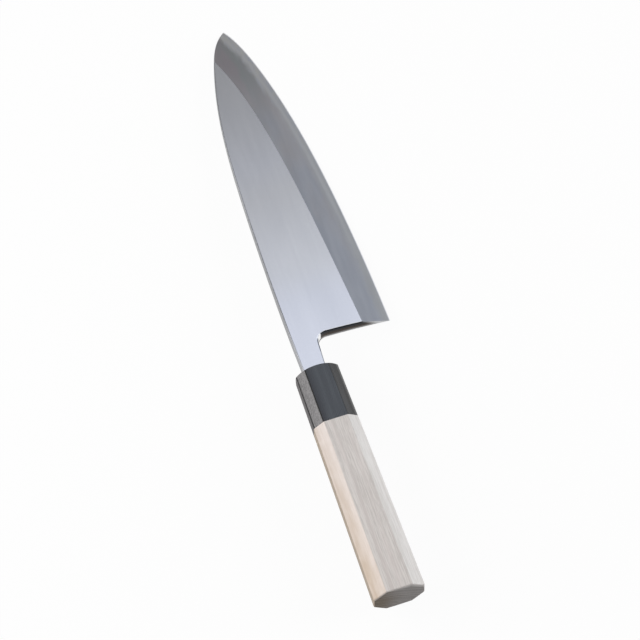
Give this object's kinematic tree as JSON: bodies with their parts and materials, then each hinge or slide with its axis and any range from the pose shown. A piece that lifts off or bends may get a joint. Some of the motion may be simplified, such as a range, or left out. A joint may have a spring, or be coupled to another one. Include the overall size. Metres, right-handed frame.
{
  "type": "deba knife",
  "caption": "Heavy right-handed single-bevel kitchen knife for fish: thick clad steel blade, horn ferrule and pale octagonal wooden grip.",
  "frame": {"origin": "centre of the handle's butt face, on the handle's axis", "axes": "+X along the handle's axis from the butt to the point of the blade, +Y from the cutting edge to the spine, +Z out of the bevelled face"},
  "size_m": [0.323, 0.0574, 0.0212],
  "materials": {
    "soft_iron": "finely ground satin",
    "hard_steel": "fine stone-ground satin",
    "horn": "polished horn",
    "pale_wood": "sanded, unvarnished",
    "bedding": "dull filler"
  },
  "bodies": {
    "root": {"blade_body": "soft_iron", "edge_steel": "hard_steel", "ferrule": "horn", "grip": "pale_wood", "tang_bedding": "bedding"}
  },
  "joints": []
}
